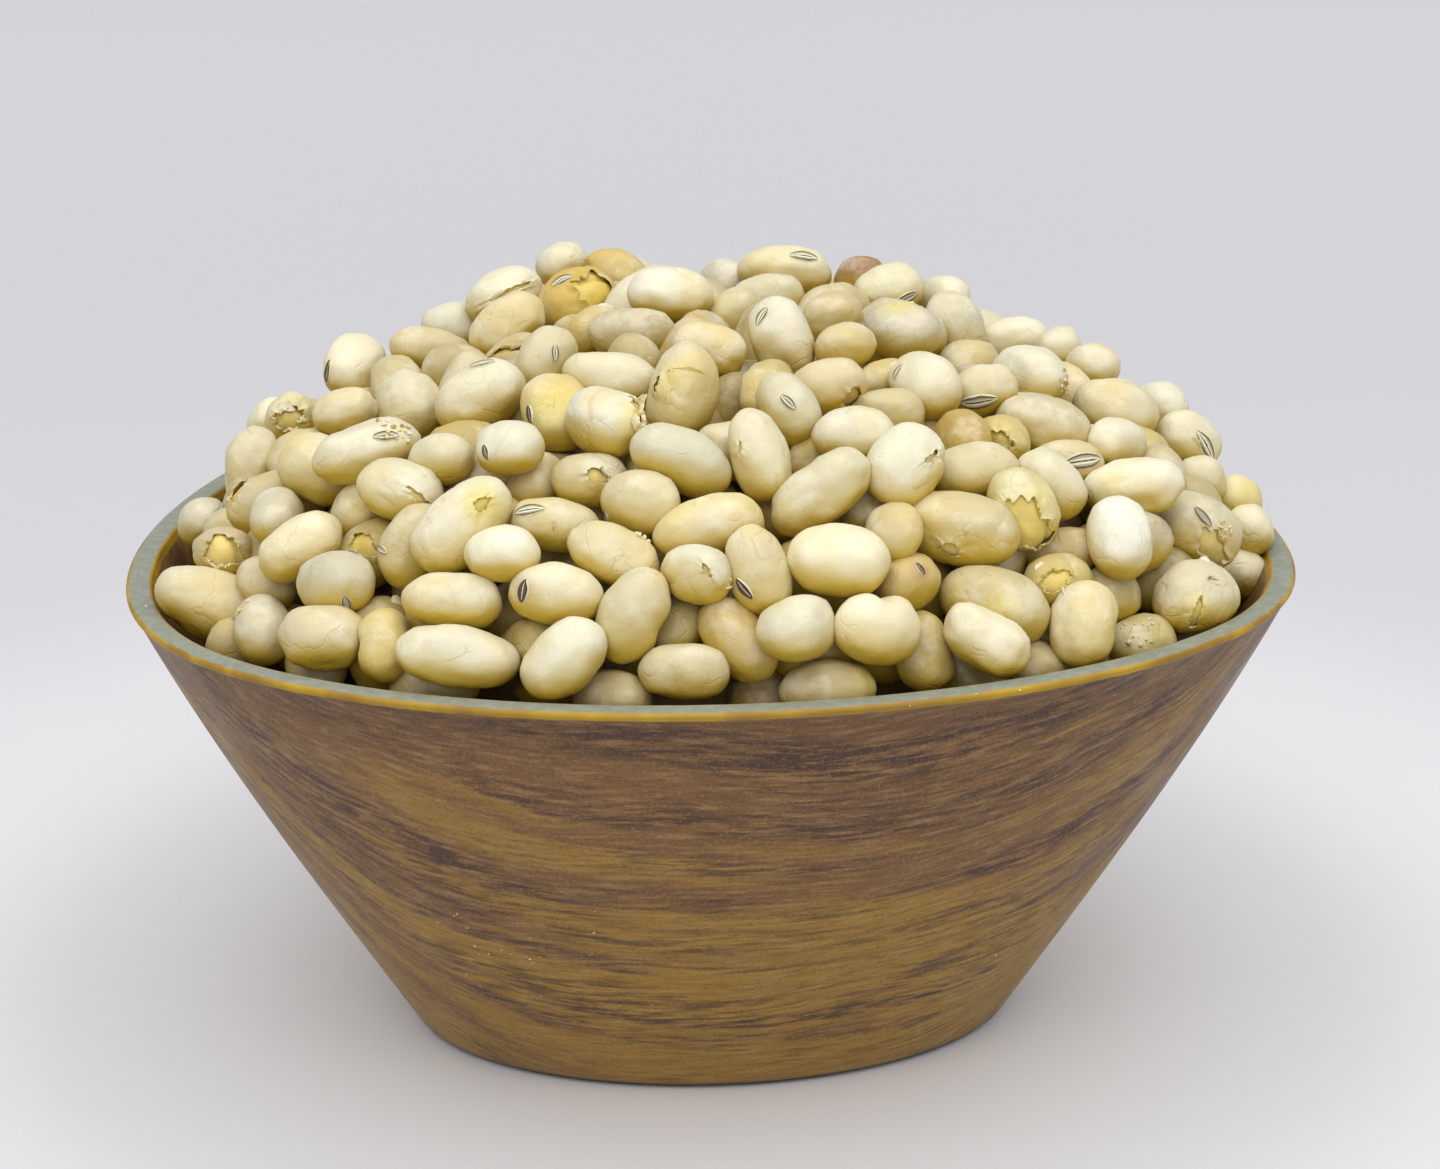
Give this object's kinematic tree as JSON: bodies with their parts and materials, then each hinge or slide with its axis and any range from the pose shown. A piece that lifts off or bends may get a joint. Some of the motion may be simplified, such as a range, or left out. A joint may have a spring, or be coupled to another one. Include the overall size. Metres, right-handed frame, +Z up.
{
  "type": "bowl of roasted soybeans",
  "caption": "Flared three-cornered serving bowl with a wood-grain outside and a sage-green rim, heaped with whole pale roasted soybeans.",
  "frame": {"origin": "middle of the bowl's length and width, on the surface it stands on", "axes": "+Z up; one flat side of the three-cornered plan faces -Y and one corner points to +Y"},
  "size_m": [0.128, 0.128, 0.0822],
  "materials": {
    "bowl": "satin moulded melamine with a brown wood grain",
    "beans": "satin cream bean skins"
  },
  "bodies": {
    "root": {"bowl": "bowl", "heap": "beans"}
  },
  "joints": []
}
